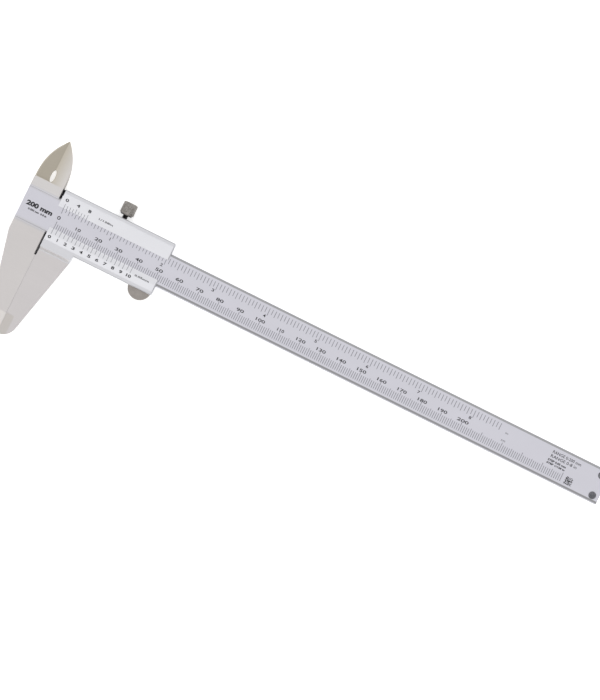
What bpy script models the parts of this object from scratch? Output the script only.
"""Vernier caliper, 200 mm and 8 in: beam and fixed jaws, slider, gib, clamp screw, depth bar and end stop.

+X runs along the beam away from the jaws, +Y towards the inner jaws, and +Z out of the graduated face.
Drawing positions count from the scale's zero mark in X, from the beam's centre line in Y, and from the
slider's back face in Z. The empty caliper_datum carries them, so the closed caliper stands centred over
the world's origin. The slider's pieces hang on slider_carriage, and the clamp screw on clamp_screw_axis.
"""

from math import cos, pi, radians, sin, tan

import bmesh
import bpy
from mathutils import Matrix, Vector

MM = 0.001

# Beam
BEAM_WIDTH = 16.0 * MM
BEAM_THICKNESS = 3.5 * MM
BEAM_REACH = 269.0 * MM  # zero mark to the far end
BEAM_EDGE_BREAK = 0.6 * MM
HEAD_REACH = 18.0 * MM  # zero mark to the head's end, on the other side
HEAD_INSET = 0.1 * MM  # the raised band stops this far short of the head's end
GROOVE_WIDTH = 4.0 * MM
GROOVE_DEPTH = 1.6 * MM
GROOVE_PAST_BAR = 2.0 * MM  # how far the groove runs on towards the head

# Outer jaws
JAW_STEP = 0.25 * MM  # how far a jaw's faces lie under the beam's faces
JAW_REACH = 49.6 * MM  # beam's lower edge to the jaw tips
CONTACT_X = -2.3 * MM  # plane of the fixed measuring face
JAW_GAP = 0.05 * MM  # closed jaws, face to face
SLIDING_JAW_WIDTH = 15.3 * MM
FIXED_JAW_SHOULDER = 5.6 * MM  # beam's lower edge to where the back edge starts to slope
SLIDING_JAW_SHOULDER = 7.5 * MM
JAW_SLOPE = radians(13.25)
JAW_EDGE_BREAK = 0.35 * MM
RELIEF_DEPTH = 10.9 * MM  # beam's lower edge to the end of the relief groove between the jaws
FIXED_RELIEF = 0.6 * MM
SLIDING_RELIEF = 0.4 * MM
RELIEF_WEB = 0.6 * MM  # left at the groove's back
FACET_LENGTH = 10.3 * MM  # ground knife edge at the tips
FACET_WIDTH = 3.9 * MM
FACET_CORNER = 1.6 * MM
FACET_DEPTH = 0.6 * MM

# Inner jaws. A blade's root is as wide as the other's, and the pair ends at the head's end.
INNER_JAW_REACH = 24.8 * MM  # beam's upper edge to the tips
INNER_ROOT_HEIGHT = 4.7 * MM
INNER_HALF_WIDTH = 7.3 * MM
INNER_LEAF_POWER = 2.45
INNER_TIP_SHARE = 0.99
INNER_LEVEL_GAP = 0.1 * MM  # between the two blades, which pass each other
INNER_EDGE_BREAK = 0.6 * MM
INNER_BEVEL_WIDTH = 6.4 * MM
INNER_BEVEL_DEPTH = 0.8 * MM
RELIEF_HOLE_WIDTH = 2.1 * MM
RELIEF_HOLE_HEIGHT = 5.8 * MM

# Slider
HEAD_SLOT = 0.75 * MM  # between the closed slider's upper end and the head
SLIDER_RIGHT = 51.7 * MM
SLIDER_ABOVE = 4.85 * MM  # slider's edges past the beam's
SLIDER_BELOW = 4.4 * MM
BACK_WALL = 1.6 * MM
RAIL_HEIGHT = 2.05 * MM  # slider's front over the beam's
LIP_HEIGHT = 0.35 * MM  # vernier lips at the window
WINDOW_INSET_UPPER = 3.1 * MM  # beam's edges to the window
WINDOW_INSET_LOWER = 3.0 * MM
UPPER_LAND = 1.65 * MM  # flat bands outside the sloping vernier faces
LOWER_LAND = 1.6 * MM
SLIDER_EDGE_BREAK = 0.4 * MM
RUNNING_GAP = 0.05 * MM
EDGE_GAP = 0.1 * MM
ROOT_DEPTH = 6.6 * MM  # beam's lower edge to the end of the jaw root's flat
ROOT_RAMP = 1.3 * MM
ARM_GAP = 0.15 * MM  # inner jaw's arm over the beam's upper edge
ARM_GRIP = 4.5 * MM  # how far the arm runs into the slider

# Thumb rest
THUMB_FROM_END = 5.9 * MM  # slider's far end to the half-moon's centre
THUMB_RADIUS = 5.35 * MM
THUMB_DROP = 4.7 * MM
THUMB_THICKNESS = 4.2 * MM
THUMB_EDGE_BREAK = 0.5 * MM
TONGUE_LENGTH = 5.6 * MM
TONGUE_HEIGHT = 2.2 * MM
TONGUE_THICKNESS = 2.0 * MM

# Clamp screw
CLAMP_FROM_END = 25.8 * MM  # slider's far end to the screw's axis
STUD_DIAMETER = 2.5 * MM
KNOB_TABLE_GAP = 0.1 * MM  # the knob's rim clears the table that the slider's back lies on
KNOB_HEIGHT = 6.0 * MM
KNOB_STANDOFF = 1.5 * MM  # bare stud between slider and knob
KNOB_ROUND = 0.7 * MM
KNOB_CHAMFER = 0.75 * MM
KNOB_CHAMFER_HEIGHT = 1.0 * MM
KNOB_BORE_DEPTH = 4.6 * MM
PRESS_GAP = 0.03 * MM
THREAD_GAP = 0.06 * MM

# Gib
GIB_MARGIN = 4.2 * MM  # slider's ends to the gib's
GIB_THICKNESS = 0.8 * MM
GIB_END_GAP = 0.25 * MM
GIB_SCREW_DIAMETER = 2.0 * MM
GIB_SCREW_FROM_END = 7.0 * MM  # gib's ends to its screws
GIB_SCREW_SINK = 0.3 * MM
SCREW_END_BREAK = 0.3 * MM  # chamfered ends of the gib screws and the clamp screw
DRIVER_SLOT_WIDTH = 0.4 * MM
DRIVER_SLOT_DEPTH = 0.5 * MM

# Depth bar
BAR_GAP = 0.1 * MM  # to the groove's walls
BAR_PAST_SCREW = 5.0 * MM
BAR_TIP_NOTCH = 1.2 * MM
BAR_SCREW_INSET = 10.5 * MM  # slider's near end to the first screw
BAR_SCREW_SPACING = 12.0 * MM
BAR_SCREW_DIAMETER = 1.6 * MM
BAR_SCREW_HEAD = 3.0 * MM
BAR_SCREW_SINK = 0.15 * MM

# End stop
STOP_LENGTH = 7.0 * MM
STOP_WIDTH = 14.0 * MM
STOP_INSET = 0.3 * MM  # plate's end behind the beam's end
STOP_CORNER = 1.0 * MM
STOP_SCREW_FROM_END = 3.1 * MM
STOP_SCREW_FROM_EDGE = 3.15 * MM
STOP_SCREW_DIAMETER = 2.0 * MM
STOP_SCREW_HEAD = 3.4 * MM
STOP_SCREW_SINK = 0.1 * MM
CROSS_LENGTH = 1.9 * MM
CROSS_WIDTH = 0.45 * MM
CROSS_DEPTH = 0.7 * MM

# Levels and edges that follow from the sizes above
BEAM_TOP = BEAM_WIDTH / 2
BEAM_BOTTOM = -BEAM_WIDTH / 2
BEAM_BACK = BACK_WALL + RUNNING_GAP
BEAM_FRONT = BEAM_BACK + BEAM_THICKNESS
MID_LEVEL = (BEAM_BACK + BEAM_FRONT) / 2
JAW_BACK = BEAM_BACK + JAW_STEP
JAW_FRONT = BEAM_FRONT - JAW_STEP
JAW_TIP_Y = BEAM_BOTTOM - JAW_REACH
INNER_TIP_Y = BEAM_TOP + INNER_JAW_REACH
INNER_ROOT_Y = BEAM_TOP + INNER_ROOT_HEIGHT
INNER_EDGE_X = INNER_HALF_WIDTH - HEAD_REACH
HEAD_RIGHT = INNER_EDGE_X + INNER_HALF_WIDTH
SLIDER_LEFT = HEAD_RIGHT + HEAD_SLOT
SLIDER_LEFT_LOWER = CONTACT_X + JAW_GAP + SLIDING_RELIEF
SLIDER_TOP = BEAM_TOP + SLIDER_ABOVE
SLIDER_BOTTOM = BEAM_BOTTOM - SLIDER_BELOW
SLIDER_FRONT = BEAM_FRONT + RAIL_HEIGHT
THUMB_X = SLIDER_RIGHT - THUMB_FROM_END
CLAMP_X = SLIDER_RIGHT - CLAMP_FROM_END
GIB_LEFT = SLIDER_LEFT + GIB_MARGIN
GIB_RIGHT = SLIDER_RIGHT - GIB_MARGIN
ROOT_RIGHT = CONTACT_X + SLIDING_JAW_WIDTH
GIB_TOP = BEAM_TOP + RUNNING_GAP + GIB_THICKNESS
POCKET_TOP = GIB_TOP + RUNNING_GAP
BAR_BACK = BEAM_BACK + RUNNING_GAP
BAR_FRONT = BEAM_BACK + GROOVE_DEPTH - BAR_GAP
BAR_SCREW_X = (SLIDER_LEFT + BAR_SCREW_INSET, SLIDER_LEFT + BAR_SCREW_INSET + BAR_SCREW_SPACING)
BAR_START = BAR_SCREW_X[0] - BAR_PAST_SCREW
GROOVE_START = BAR_START - GROOVE_PAST_BAR
STOP_SCREW_X = BEAM_REACH - STOP_SCREW_FROM_END
STOP_SCREW_Y = BEAM_TOP - STOP_SCREW_FROM_EDGE
KNOB_BOTTOM = SLIDER_TOP + KNOB_STANDOFF
KNOB_RADIUS = MID_LEVEL - KNOB_TABLE_GAP

WELD = 1e-7
THROUGH = 1.0 * MM  # a cutter's reach past the wall that it cuts
ARC_STEPS = 10
LEAF_STEPS = 18
SMALL_ROUND = 20
KNOB_ROUND_STEPS = 48

ALONG = {
    "X": Matrix(((0, 0, 1, 0), (1, 0, 0, 0), (0, 1, 0, 0), (0, 0, 0, 1))),
    "Y": Matrix(((0, 1, 0, 0), (0, 0, 1, 0), (1, 0, 0, 0), (0, 0, 0, 1))),
    "Z": Matrix.Identity(4),
}


# Scene


def clear_scene():
    for old in list(bpy.data.objects):
        bpy.data.objects.remove(old, do_unlink=True)


def new_collection(name):
    made = bpy.data.collections.new(name)
    bpy.context.scene.collection.children.link(made)
    return made


def new_empty(name, parts, place, parent=None):
    empty = bpy.data.objects.new(name, None)
    empty.location = place
    empty.parent = parent
    empty.empty_display_size = 5 * MM
    parts.objects.link(empty)
    return empty


def new_material(name, colour, metallic, roughness):
    material = bpy.data.materials.new(name)
    material.use_nodes = True
    surface = material.node_tree.nodes["Principled BSDF"]
    surface.inputs["Base Color"].default_value = (*colour, 1.0)
    surface.inputs["Metallic"].default_value = metallic
    surface.inputs["Roughness"].default_value = roughness
    return material


# Shapes


def arc(centre, radius, start, end, steps=ARC_STEPS):
    """Points on an arc from the start angle to the end angle, in radians."""
    turns = [start + (end - start) * i / steps for i in range(steps + 1)]
    return [(centre[0] + radius * cos(turn), centre[1] + radius * sin(turn)) for turn in turns]


def link_mesh(name, shape, along="Z"):
    """Makes an object of a bmesh and turns its Z axis to the named one."""
    shape.transform(ALONG[along])
    bmesh.ops.recalc_face_normals(shape, faces=shape.faces)
    mesh = bpy.data.meshes.new(name)
    shape.to_mesh(mesh)
    shape.free()
    made = bpy.data.objects.new(name, mesh)
    PARTS.objects.link(made)
    return made


def box(name, low, high):
    shape = bmesh.new()
    bmesh.ops.create_cube(shape, size=1.0)
    low, high = Vector(low), Vector(high)
    bmesh.ops.scale(shape, verts=shape.verts, vec=high - low)
    bmesh.ops.translate(shape, verts=shape.verts, vec=(low + high) / 2)
    return link_mesh(name, shape)


def extruded(name, outline, low, high, along="Z"):
    """A flat outline drawn as a filled 2D curve, made solid between two levels of the named axis."""
    curve = bpy.data.curves.new(name, "CURVE")
    curve.dimensions = "2D"
    curve.fill_mode = "BOTH"
    curve.extrude = (high - low) / 2
    spline = curve.splines.new("POLY")
    spline.points.add(len(outline) - 1)
    for point, (u, v) in zip(spline.points, outline):
        point.co = (u, v, 0.0, 1.0)
    spline.use_cyclic_u = True
    drawn = bpy.data.objects.new(name + "_outline", curve)
    PARTS.objects.link(drawn)
    evaluated = drawn.evaluated_get(bpy.context.evaluated_depsgraph_get())
    filled = bpy.data.meshes.new_from_object(evaluated)
    shape = bmesh.new()
    shape.from_mesh(filled)
    bmesh.ops.translate(shape, verts=shape.verts, vec=(0, 0, (low + high) / 2))
    bmesh.ops.remove_doubles(shape, verts=shape.verts, dist=WELD)
    dissolve_flat(shape)
    bpy.data.objects.remove(drawn)
    bpy.data.meshes.remove(filled)
    return link_mesh(name, shape, along)


def dissolve_flat(shape):
    """Joins faces that lie in one plane."""
    bmesh.ops.dissolve_limit(shape, angle_limit=radians(0.2), verts=shape.verts, edges=shape.edges)


def turned(name, profile, place, along, steps=SMALL_ROUND):
    """Turns a profile of (radius, height) points round the named axis through a place."""
    shape = bmesh.new()
    points = [shape.verts.new((radius, 0, height)) for radius, height in profile]
    for first, second in zip(points, points[1:]):
        shape.edges.new((first, second))
    mesh = bpy.data.meshes.new(name)
    shape.to_mesh(mesh)
    shape.free()
    made = bpy.data.objects.new(name, mesh)
    PARTS.objects.link(made)
    screw = made.modifiers.new("turned", "SCREW")
    screw.steps = steps
    screw.render_steps = steps
    screw.use_merge_vertices = True
    screw.merge_threshold = WELD
    bake(made)
    made.data.transform(Matrix.Translation(place) @ ALONG[along])
    return made


def disc(name, radius, low, high, place, along):
    """A plain round cutter or pin."""
    return turned(name, [(0, high), (radius, high), (radius, low), (0, low)], place, along)


def bake(piece):
    """Puts the result of a piece's modifiers in its mesh."""
    evaluated = piece.evaluated_get(bpy.context.evaluated_depsgraph_get())
    mesh = bpy.data.meshes.new_from_object(evaluated)
    piece.modifiers.clear()
    piece.data = mesh


def combine(piece, operation, others):
    """Joins or cuts a piece with others, which become hidden tools."""
    for other in others:
        step = piece.modifiers.new(other.name, "BOOLEAN")
        step.operation = operation
        step.solver = "EXACT"
        step.object = other
        PARTS.objects.unlink(other)
        TOOLS.objects.link(other)
        other.hide_render = True
        other.display_type = "WIRE"


def clean(piece):
    """Bakes a piece's Booleans and joins the flat faces that they split."""
    bake(piece)
    shape = bmesh.new()
    shape.from_mesh(piece.data)
    dissolve_flat(shape)
    shape.to_mesh(piece.data)
    shape.free()


def break_edges(piece, width, chosen, segments=1):
    """Bevels the edges whose two ends the test picks."""
    mesh = piece.data
    weights = mesh.attributes.new("bevel_weight_edge", "FLOAT", "EDGE")
    for edge in mesh.edges:
        ends = [mesh.vertices[index].co for index in edge.vertices]
        weights.data[edge.index].value = 1.0 if chosen(*ends) else 0.0
    bevel = piece.modifiers.new("edge_break", "BEVEL")
    bevel.limit_method = "WEIGHT"
    bevel.width = width
    bevel.segments = segments
    bevel.use_clamp_overlap = False


def finish(piece, material, parent, rounded=True):
    piece.data.materials.clear()
    piece.data.materials.append(material)
    piece.parent = parent
    if rounded:
        piece.data.shade_smooth()
        piece.data.set_sharp_from_angle(angle=radians(30))
    return piece


def near(value, level):
    return abs(value - level) < 1e-6


# Outlines that the beam and the slider share


def outer_jaw_outline(back_x, shoulder, contact_x, top_y, side):
    """From the jaw's top corner down its back edge, round the tip and up the measuring face.

    side is -1 for the fixed jaw, which lies at -X of its measuring face, and +1 for the sliding one.
    The tip's arc is centred on the measuring face, and its radius makes the sloping edge its tangent.
    """
    shoulder_y = BEAM_BOTTOM - shoulder
    width_at_tip = abs(back_x - contact_x) - (shoulder_y - JAW_TIP_Y) * tan(JAW_SLOPE)
    radius = width_at_tip / (cos(JAW_SLOPE) - (1 - sin(JAW_SLOPE)) * tan(JAW_SLOPE))
    tip = arc((0, JAW_TIP_Y + radius), radius, -JAW_SLOPE, -pi / 2)
    points = [(back_x, top_y), (back_x, shoulder_y)]
    points += [(contact_x + side * x, y) for x, y in tip]
    points.append((contact_x, top_y))
    return points


def relief_groove(name, contact_x, relief, top_y, side):
    """A cutter for one jaw's half of the groove between the jaws, from the front down to a thin web."""
    end = BEAM_BOTTOM - RELIEF_DEPTH
    corner = arc((0, end + relief), relief, -pi / 2, 0, 4)
    outline = [(contact_x - side * THROUGH, top_y), (contact_x - side * THROUGH, end)]
    outline += [(contact_x + side * x, y) for x, y in corner]
    outline.append((contact_x + side * relief, top_y))
    return extruded(name, outline, JAW_BACK + RELIEF_WEB, JAW_FRONT + THROUGH)


def inner_leaf(side):
    """The inner blade's curved back edge, from its root to its tip, on one side of the measuring edge."""
    height = INNER_TIP_Y - INNER_ROOT_Y
    points = []
    for i in range(LEAF_STEPS + 1):
        share = INNER_TIP_SHARE * i / LEAF_STEPS
        reach = INNER_HALF_WIDTH * (1 - share**INNER_LEAF_POWER)
        points.append((INNER_EDGE_X + side * reach, INNER_ROOT_Y + height * share))
    return points


def jaw_back_rim(side):
    """Picks the two rims of an outer jaw's back edge and tip."""
    measuring_x = CONTACT_X + side * (max(FIXED_RELIEF, SLIDING_RELIEF) + JAW_GAP)

    def picks(first, second):
        flat = near(first.z, second.z)
        behind = min(side * (first.x - measuring_x), side * (second.x - measuring_x)) > 0
        return flat and behind and not near(first.y, second.y)

    return picks


def leaf_rim(side, level):
    """Picks the rim of an inner blade's curved back edge at one level, but for the slim end at the tip."""

    def picks(first, second):
        flat = near(first.z, level) and near(second.z, level)
        reach = min(side * (first.x - INNER_EDGE_X), side * (second.x - INNER_EDGE_X))
        return flat and reach > 2 * INNER_EDGE_BREAK and not near(first.y, second.y)

    return picks


def relief_hole(name):
    """The slim oval between the inner blades' roots."""
    centre = (INNER_EDGE_X, INNER_ROOT_Y + RELIEF_HOLE_HEIGHT / 2)
    round_points = arc((0, 0), 1.0, 0, 2 * pi, 24)[:-1]
    outline = [
        (centre[0] + u * RELIEF_HOLE_WIDTH / 2, centre[1] + v * RELIEF_HOLE_HEIGHT / 2)
        for u, v in round_points
    ]
    return extruded(name, outline, BEAM_BACK - THROUGH, BEAM_FRONT + THROUGH)


def edge_wedge(name, edge_x, width, depth, span_y, face, corner=0.0):
    """A cutter that grinds a blade's face down towards its measuring edge.

    width is signed: it points from the edge into the blade. face is the level of the ground face, and
    depth is signed: it points from that face into the metal.
    """
    low_y, high_y = span_y
    inside = edge_x + width
    outside = edge_x - width
    side = 1 if width > 0 else -1
    turn = [(inside - side * (corner - x), high_y - corner + y) for x, y in arc((0, 0), corner, 0, pi / 2, 5)]
    outline = [(outside, low_y), (inside, low_y), *turn, (outside, high_y)]
    wedge = extruded(name, outline, 0.0, THROUGH)
    for vertex in wedge.data.vertices:
        share = (inside - vertex.co.x) / width
        if vertex.co.z < THROUGH / 2:
            vertex.co.z = face + depth * share
        else:
            vertex.co.z = face - (THROUGH if depth > 0 else -THROUGH)
    shape = bmesh.new()
    shape.from_mesh(wedge.data)
    bmesh.ops.recalc_face_normals(shape, faces=shape.faces)
    shape.to_mesh(wedge.data)
    shape.free()
    return wedge


def tip_facets(name, contact_x, side):
    """The knife edge that is ground on both faces of an outer jaw's tip."""
    span = (JAW_TIP_Y - THROUGH, JAW_TIP_Y + FACET_LENGTH)
    width = side * FACET_WIDTH
    front = edge_wedge(name + "_front", contact_x, width, -FACET_DEPTH, span, JAW_FRONT, FACET_CORNER)
    back = edge_wedge(name + "_back", contact_x, width, FACET_DEPTH, span, JAW_BACK, FACET_CORNER)
    return [front, back]


# Beam


def beam_section():
    """Across the beam, in Y and Z, with its long edges broken."""
    half, cut = BEAM_WIDTH / 2, BEAM_EDGE_BREAK
    return [
        (-half + cut, BEAM_BACK),
        (half - cut, BEAM_BACK),
        (half, BEAM_BACK + cut),
        (half, BEAM_FRONT - cut),
        (half - cut, BEAM_FRONT),
        (-half + cut, BEAM_FRONT),
        (-half, BEAM_FRONT - cut),
        (-half, BEAM_BACK + cut),
    ]


def groove_cutter():
    half = GROOVE_WIDTH / 2
    round_end = arc((GROOVE_START + half, 0), half, pi / 2, 3 * pi / 2)
    end_x = BEAM_REACH + THROUGH
    outline = [(end_x, half), *round_end, (end_x, -half)]
    return extruded("groove_cutter", outline, BEAM_BACK - THROUGH, BEAM_BACK + GROOVE_DEPTH)


def countersunk_hole(name, place, shaft, head, sink, top, bottom):
    """A cutter for a countersunk screw whose axis is Z. The head's face looks to top, the shaft to bottom."""
    way = 1 if top > bottom else -1
    seat = top - way * (sink + THREAD_GAP)
    cone = (head - shaft) / 2
    profile = [
        (0, top + way * THROUGH),
        (head / 2 + THREAD_GAP, top + way * THROUGH),
        (head / 2 + THREAD_GAP, seat),
        (shaft / 2 + THREAD_GAP, seat - way * cone),
        (shaft / 2 + THREAD_GAP, bottom - way * THROUGH),
        (0, bottom - way * THROUGH),
    ]
    return turned(name, profile if way > 0 else profile[::-1], place, "Z")


def main_beam(material, parent):
    """The graduated beam with its head and fixed jaws, one blank of hardened stainless steel."""
    beam = extruded("main_beam", beam_section(), HEAD_INSET - HEAD_REACH, BEAM_REACH, "X")
    band = BEAM_TOP - BEAM_EDGE_BREAK - RUNNING_GAP
    jaw = outer_jaw_outline(-HEAD_REACH, FIXED_JAW_SHOULDER, CONTACT_X, band, -1)
    head = extruded("head_blank", jaw, JAW_BACK, JAW_FRONT)
    break_edges(head, JAW_EDGE_BREAK, jaw_back_rim(-1))
    groove = relief_groove("fixed_relief_groove", CONTACT_X, FIXED_RELIEF, BEAM_BOTTOM + THROUGH, -1)
    combine(head, "DIFFERENCE", [groove])
    root = [(-HEAD_REACH, 0), (HEAD_RIGHT, 0), *inner_leaf(1)]
    root += [(INNER_EDGE_X, INNER_TIP_Y), (INNER_EDGE_X, INNER_ROOT_Y), (-HEAD_REACH, INNER_ROOT_Y)]
    blade = extruded("fixed_inner_blade", root, MID_LEVEL + INNER_LEVEL_GAP / 2, JAW_FRONT)
    break_edges(blade, INNER_EDGE_BREAK, leaf_rim(1, JAW_FRONT))
    combine(beam, "UNION", [head, blade])
    cutters = [groove_cutter(), relief_hole("fixed_relief_hole")]
    cutters += tip_facets("fixed_facet", CONTACT_X, -1)
    span = (INNER_ROOT_Y, INNER_TIP_Y + THROUGH)
    bevel = (INNER_BEVEL_WIDTH, -INNER_BEVEL_DEPTH)
    cutters.append(edge_wedge("fixed_inner_bevel", INNER_EDGE_X, *bevel, span, JAW_FRONT))
    for name, y in (("upper", STOP_SCREW_Y), ("lower", -STOP_SCREW_Y)):
        place = (STOP_SCREW_X, y, 0)
        sizes = (STOP_SCREW_DIAMETER, STOP_SCREW_HEAD, STOP_SCREW_SINK, BEAM_FRONT, BEAM_BACK)
        cutters.append(countersunk_hole(f"stop_hole_{name}", place, *sizes))
    combine(beam, "DIFFERENCE", cutters)
    clean(beam)
    return finish(beam, material, parent)


# Slider


def slider_section():
    """Across the slider, in Y and Z: a channel round the beam whose vernier faces slope to the window."""
    cut = SLIDER_EDGE_BREAK
    lip = BEAM_FRONT + LIP_HEIGHT
    under = BEAM_FRONT + RUNNING_GAP
    slot = BEAM_TOP + EDGE_GAP
    window_top = BEAM_TOP - WINDOW_INSET_UPPER
    window_bottom = BEAM_BOTTOM + WINDOW_INSET_LOWER
    return [
        (SLIDER_BOTTOM + cut, 0),
        (SLIDER_TOP - cut, 0),
        (SLIDER_TOP, cut),
        (SLIDER_TOP, SLIDER_FRONT - cut),
        (SLIDER_TOP - cut, SLIDER_FRONT),
        (SLIDER_TOP - UPPER_LAND, SLIDER_FRONT),
        (window_top, lip),
        (window_top, under),
        (slot, under),
        (slot, BACK_WALL),
        (-slot, BACK_WALL),
        (-slot, under),
        (window_bottom, under),
        (window_bottom, lip),
        (SLIDER_BOTTOM + LOWER_LAND, SLIDER_FRONT),
        (SLIDER_BOTTOM + cut, SLIDER_FRONT),
        (SLIDER_BOTTOM, SLIDER_FRONT - cut),
        (SLIDER_BOTTOM, cut),
    ]


def jaw_root():
    """The thick block between the slider and its outer jaw, sloping down to the jaw's two faces."""
    top = SLIDER_BOTTOM + LOWER_LAND - SLIDER_EDGE_BREAK
    flat_end = BEAM_BOTTOM - ROOT_DEPTH
    ramp_end = flat_end - ROOT_RAMP
    outline = [
        (top, 0),
        (top, SLIDER_FRONT),
        (flat_end, SLIDER_FRONT),
        (ramp_end, JAW_FRONT),
        (ramp_end, JAW_BACK),
        (flat_end, 0),
    ]
    return extruded("jaw_root", outline, SLIDER_LEFT_LOWER, ROOT_RIGHT, "X")


def sliding_outer_jaw():
    top = BEAM_BOTTOM - 2 * EDGE_GAP
    contact = CONTACT_X + JAW_GAP
    outline = outer_jaw_outline(ROOT_RIGHT, SLIDING_JAW_SHOULDER, contact, top, 1)
    jaw = extruded("sliding_outer_jaw", outline, JAW_BACK, JAW_FRONT)
    break_edges(jaw, JAW_EDGE_BREAK, jaw_back_rim(1))
    groove = relief_groove("sliding_relief_groove", contact, SLIDING_RELIEF, top + THROUGH, 1)
    combine(jaw, "DIFFERENCE", [groove])
    return jaw


def sliding_inner_jaw():
    """The rear inner blade and the arm that carries it behind the head."""
    arm_bottom = BEAM_TOP + ARM_GAP
    arm_top = SLIDER_TOP - SLIDER_EDGE_BREAK
    arm_right = SLIDER_LEFT + ARM_GRIP
    leaf = inner_leaf(-1)
    outline = [(arm_right, arm_bottom), (arm_right, arm_top), (INNER_EDGE_X, arm_top)]
    outline += [(INNER_EDGE_X, INNER_TIP_Y), *leaf[::-1], (leaf[0][0], arm_bottom)]
    level = MID_LEVEL - INNER_LEVEL_GAP / 2
    jaw = extruded("sliding_inner_jaw", outline, JAW_BACK, level)
    break_edges(jaw, INNER_EDGE_BREAK, leaf_rim(-1, level))
    return jaw


def slider_cutters():
    """Everything that is cut from the joined slider: pocket, threaded holes, screw seats and ground edges."""
    low = (GIB_LEFT - GIB_END_GAP, 0, BACK_WALL)
    high = (GIB_RIGHT + GIB_END_GAP, POCKET_TOP, BEAM_FRONT + RUNNING_GAP)
    cutters = [box("gib_pocket", low, high)]
    span = (BEAM_TOP, SLIDER_TOP + THROUGH)
    radius = STUD_DIAMETER / 2 + THREAD_GAP
    cutters.append(disc("stud_hole", radius, *span, (CLAMP_X, 0, MID_LEVEL), "Y"))
    for name, x in gib_screw_places():
        radius = GIB_SCREW_DIAMETER / 2 + THREAD_GAP
        cutters.append(disc(f"gib_screw_hole_{name}", radius, *span, (x, 0, MID_LEVEL), "Y"))
    for name, x in bar_screw_places():
        sizes = (BAR_SCREW_DIAMETER, BAR_SCREW_HEAD, BAR_SCREW_SINK, 0, BACK_WALL)
        cutters.append(countersunk_hole(f"bar_screw_hole_{name}", (x, 0, 0), *sizes))
    cutters.append(tongue("tongue_slot", RUNNING_GAP))
    cutters.append(relief_hole("sliding_relief_hole"))
    cutters += tip_facets("sliding_facet", CONTACT_X + JAW_GAP, 1)
    return cutters


def slider_body(material, parent):
    """The slider with its sliding jaws, one blank of hardened stainless steel."""
    slider = extruded("slider_body", slider_section(), SLIDER_LEFT, SLIDER_RIGHT, "X")
    break_edges(slider, SLIDER_EDGE_BREAK, on_slider_end)
    low = (SLIDER_LEFT - THROUGH, SLIDER_BOTTOM - THROUGH, -THROUGH)
    high = (SLIDER_LEFT_LOWER, BEAM_BOTTOM + WINDOW_INSET_LOWER + THROUGH, SLIDER_FRONT + THROUGH)
    combine(slider, "DIFFERENCE", [box("lower_left_cutter", low, high)])
    combine(slider, "UNION", [jaw_root(), sliding_outer_jaw(), sliding_inner_jaw()])
    combine(slider, "DIFFERENCE", slider_cutters())
    clean(slider)
    return finish(slider, material, parent)


def on_slider_end(first, second):
    """The outer rim of the slider's far end, on its front, top and bottom."""
    at_end = near(first.x, SLIDER_RIGHT) and near(second.x, SLIDER_RIGHT)
    outside = min(abs(first.y), abs(second.y)) > BEAM_TOP - WINDOW_INSET_UPPER - MM
    front = min(first.z, second.z) > BEAM_FRONT + LIP_HEIGHT - WELD
    edge = min(abs(first.y), abs(second.y)) > BEAM_TOP + EDGE_GAP + MM
    return at_end and outside and (front or edge)


# Small pieces


def tongue(name, gap):
    """The thumb rest's tongue, or with a gap the slot that it is pressed into."""
    half = TONGUE_LENGTH / 2 + gap
    half_thick = TONGUE_THICKNESS / 2 + gap
    low = (THUMB_X - half, SLIDER_BOTTOM - MM, MID_LEVEL - half_thick)
    high = (THUMB_X + half, SLIDER_BOTTOM + TONGUE_HEIGHT + gap, MID_LEVEL + half_thick)
    return box(name, low, high)


def thumb_rest(material, parent):
    """A half-moon with a tongue, pressed into the slider's lower edge."""
    chord_y = SLIDER_BOTTOM - RUNNING_GAP
    centre = (THUMB_X, SLIDER_BOTTOM - THUMB_DROP + THUMB_RADIUS)
    rise = (centre[1] - chord_y) / THUMB_RADIUS
    start = -pi / 2 + (pi / 2 - rise)
    outline = arc(centre, THUMB_RADIUS, -pi - start, start, 24)
    half = THUMB_THICKNESS / 2
    rest = extruded("thumb_rest", outline, MID_LEVEL - half, MID_LEVEL + half)
    combine(rest, "UNION", [tongue("thumb_tongue", 0.0)])
    clean(rest)
    break_edges(rest, THUMB_EDGE_BREAK, on_thumb_rim, 2)
    return finish(rest, material, parent)


def on_thumb_rim(first, second):
    """The two curved rims of the half-moon."""
    level = abs(first.z - second.z) < WELD and abs(first.z - MID_LEVEL) > THUMB_THICKNESS / 2 - WELD
    return level and not (near(first.y, second.y) and first.y > SLIDER_BOTTOM - 2 * RUNNING_GAP)


def gib_screw_places():
    return (("left", GIB_LEFT + GIB_SCREW_FROM_END), ("right", GIB_RIGHT - GIB_SCREW_FROM_END))


def bar_screw_places():
    return zip(("left", "right"), BAR_SCREW_X)


def gib_strip(material, parent):
    """The bronze strip that takes up the play between slider and beam."""
    low = (GIB_LEFT, BEAM_TOP + RUNNING_GAP, BEAM_BACK)
    strip = box("gib_strip", low, (GIB_RIGHT, GIB_TOP, BEAM_FRONT))
    return finish(strip, material, parent, rounded=False)


def gib_screw(name, x, material, parent):
    """A headless slotted screw that sets the gib from the slider's upper edge."""
    top = SLIDER_TOP - GIB_SCREW_SINK
    bottom = GIB_TOP + 2 * RUNNING_GAP
    radius = GIB_SCREW_DIAMETER / 2
    cut = SCREW_END_BREAK
    profile = [(0, top), (radius, top), (radius, bottom + cut), (radius - cut, bottom), (0, bottom)]
    screw = turned(name, profile, (x, 0, MID_LEVEL), "Y")
    half = DRIVER_SLOT_WIDTH / 2
    low = (x - 2 * radius, top - DRIVER_SLOT_DEPTH, MID_LEVEL - half)
    slot = box(f"{name}_slot", low, (x + 2 * radius, top + THROUGH, MID_LEVEL + half))
    combine(screw, "DIFFERENCE", [slot])
    clean(screw)
    return finish(screw, material, parent)


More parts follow.
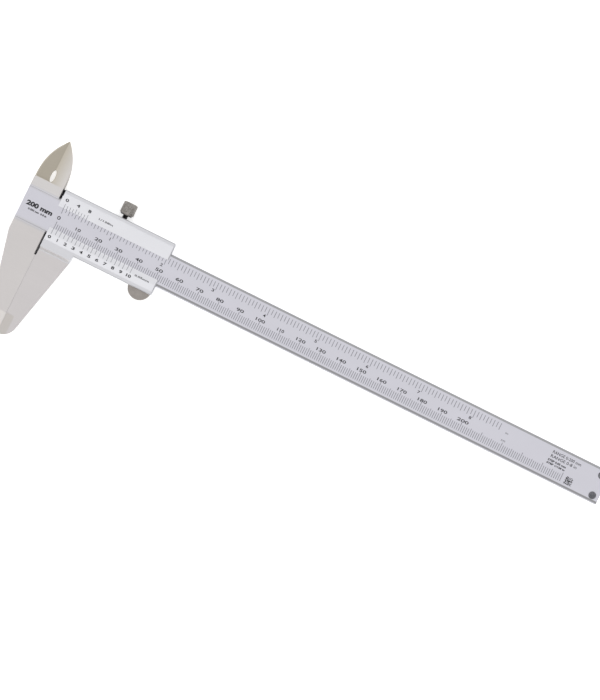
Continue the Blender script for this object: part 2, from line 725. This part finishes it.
def clamp_stud(material, parent):
    """The clamp screw's dark stem, from the gib up into the knob. It turns about Y on its parent's origin."""
    bottom = GIB_TOP + 2 * RUNNING_GAP
    top = KNOB_BOTTOM + KNOB_BORE_DEPTH - RUNNING_GAP
    radius = STUD_DIAMETER / 2
    cut = SCREW_END_BREAK
    profile = [(0, top), (radius - cut, top), (radius, top - cut)]
    profile += [(radius, bottom + cut), (radius - cut, bottom), (0, bottom)]
    stud = turned("clamp_stud", profile, (0, 0, 0), "Y", KNOB_ROUND_STEPS // 2)
    return finish(stud, material, parent)


def clamp_knob(material, parent):
    """The knurled head, bored from below for the stem."""
    radius = KNOB_RADIUS
    top = KNOB_BOTTOM + KNOB_HEIGHT
    bore = STUD_DIAMETER / 2 + PRESS_GAP
    rim = arc((radius - KNOB_ROUND, top - KNOB_ROUND), KNOB_ROUND, pi / 2, 0, 4)
    profile = [(0, top), *rim]
    profile += [
        (radius, KNOB_BOTTOM + KNOB_CHAMFER_HEIGHT),
        (radius - KNOB_CHAMFER, KNOB_BOTTOM),
        (bore, KNOB_BOTTOM),
        (bore, KNOB_BOTTOM + KNOB_BORE_DEPTH),
        (0, KNOB_BOTTOM + KNOB_BORE_DEPTH),
    ]
    knob = turned("clamp_knob", profile, (0, 0, 0), "Y", KNOB_ROUND_STEPS)
    return finish(knob, material, parent)


def depth_bar(material, parent):
    """The flat rod in the beam's back, flush with the beam's end when the jaws are closed."""
    half = GROOVE_WIDTH / 2 - BAR_GAP
    notch = BAR_TIP_NOTCH
    outline = [
        (BAR_START, -half),
        (BEAM_REACH, -half),
        (BEAM_REACH, half - notch),
        (BEAM_REACH - notch, half),
        (BAR_START, half),
    ]
    bar = extruded("depth_bar", outline, BAR_BACK, BAR_FRONT)
    radius = BAR_SCREW_DIAMETER / 2 + THREAD_GAP
    span = (BAR_BACK - THROUGH, BAR_FRONT + THROUGH)
    holes = [disc(f"bar_hole_{name}", radius, *span, (x, 0, 0), "Z") for name, x in bar_screw_places()]
    combine(bar, "DIFFERENCE", holes)
    clean(bar)
    return finish(bar, material, parent)


def countersunk_screw(name, place, shaft, head, top, bottom):
    """A countersunk screw on Z, its head's face at top and its end at bottom."""
    way = 1 if top > bottom else -1
    cone = (head - shaft) / 2
    profile = [(0, top), (head / 2, top), (shaft / 2, top - way * cone), (shaft / 2, bottom), (0, bottom)]
    return turned(name, profile if way > 0 else profile[::-1], place, "Z")


def depth_bar_screw(name, x, material, parent):
    """Slotted, with its head in the slider's back wall and its end in the depth bar."""
    end = BAR_FRONT - RUNNING_GAP
    screw = countersunk_screw(name, (x, 0, 0), BAR_SCREW_DIAMETER, BAR_SCREW_HEAD, BAR_SCREW_SINK, end)
    half = DRIVER_SLOT_WIDTH / 2
    low = (x - BAR_SCREW_HEAD, -half, -THROUGH)
    slot = box(f"{name}_slot", low, (x + BAR_SCREW_HEAD, half, BAR_SCREW_SINK + DRIVER_SLOT_DEPTH))
    combine(screw, "DIFFERENCE", [slot])
    clean(screw)
    return finish(screw, material, parent)


def stopper_screw(name, y, material, parent):
    """Cross-recessed, through the beam from the front and into the stopper plate."""
    x = STOP_SCREW_X
    top = BEAM_FRONT - STOP_SCREW_SINK
    screw = countersunk_screw(name, (x, y, 0), STOP_SCREW_DIAMETER, STOP_SCREW_HEAD, top, RUNNING_GAP)
    long, short = CROSS_LENGTH / 2, CROSS_WIDTH / 2
    low, high = top - CROSS_DEPTH, top + THROUGH
    arms = [
        box(f"{name}_cross_x", (x - long, y - short, low), (x + long, y + short, high)),
        box(f"{name}_cross_y", (x - short, y - long, low), (x + short, y + long, high)),
    ]
    combine(screw, "DIFFERENCE", arms)
    clean(screw)
    return finish(screw, material, parent)


def stopper_plate(material, parent):
    """The plate on the beam's back that stops the slider and covers the groove's end."""
    right = BEAM_REACH - STOP_INSET
    left = right - STOP_LENGTH
    half = STOP_WIDTH / 2
    r = STOP_CORNER
    outline = arc((right - r, half - r), r, 0, pi / 2, 4)
    outline += arc((left + r, half - r), r, pi / 2, pi, 4)
    outline += arc((left + r, r - half), r, pi, 3 * pi / 2, 4)
    outline += arc((right - r, r - half), r, 3 * pi / 2, 2 * pi, 4)
    plate = extruded("stopper_plate", outline, 0, BACK_WALL)
    radius = STOP_SCREW_DIAMETER / 2 + THREAD_GAP
    span = (-THROUGH, BACK_WALL + THROUGH)
    holes = []
    for name, y in (("upper", STOP_SCREW_Y), ("lower", -STOP_SCREW_Y)):
        holes.append(disc(f"plate_hole_{name}", radius, *span, (STOP_SCREW_X, y, 0), "Z"))
    combine(plate, "DIFFERENCE", holes)
    clean(plate)
    return finish(plate, material, parent)


# Assembly


def build():
    steel = new_material("satin_stainless_steel", (0.62, 0.62, 0.66), 1.0, 0.35)
    knurled = new_material("turned_steel", (0.27, 0.25, 0.23), 1.0, 0.4)
    black = new_material("blackened_steel", (0.012, 0.011, 0.012), 0.6, 0.45)
    bronze = new_material("phosphor_bronze", (0.55, 0.34, 0.14), 1.0, 0.35)
    screw_steel = new_material("screw_steel", (0.30, 0.30, 0.31), 1.0, 0.35)

    centre_x = (BEAM_REACH - HEAD_REACH) / 2
    centre_y = (INNER_TIP_Y + JAW_TIP_Y) / 2
    datum = new_empty("caliper_datum", PARTS, (-centre_x, -centre_y, 0))
    carriage = new_empty("slider_carriage", PARTS, (0, 0, 0), datum)
    screw_axis = new_empty("clamp_screw_axis", PARTS, (CLAMP_X, 0, MID_LEVEL), carriage)

    main_beam(steel, datum)
    stopper_plate(steel, datum)
    stopper_screw("stopper_screw_upper", STOP_SCREW_Y, screw_steel, datum)
    stopper_screw("stopper_screw_lower", -STOP_SCREW_Y, screw_steel, datum)
    slider_body(steel, carriage)
    thumb_rest(knurled, carriage)
    gib_strip(bronze, carriage)
    for name, x in gib_screw_places():
        gib_screw(f"gib_screw_{name}", x, black, carriage)
    depth_bar(steel, carriage)
    for name, x in bar_screw_places():
        depth_bar_screw(f"depth_bar_screw_{name}", x, screw_steel, carriage)
    clamp_stud(black, screw_axis)
    clamp_knob(knurled, screw_axis)


clear_scene()
PARTS = new_collection("vernier_caliper")
TOOLS = new_collection("caliper_cutters")
TOOLS.hide_render = True
build()
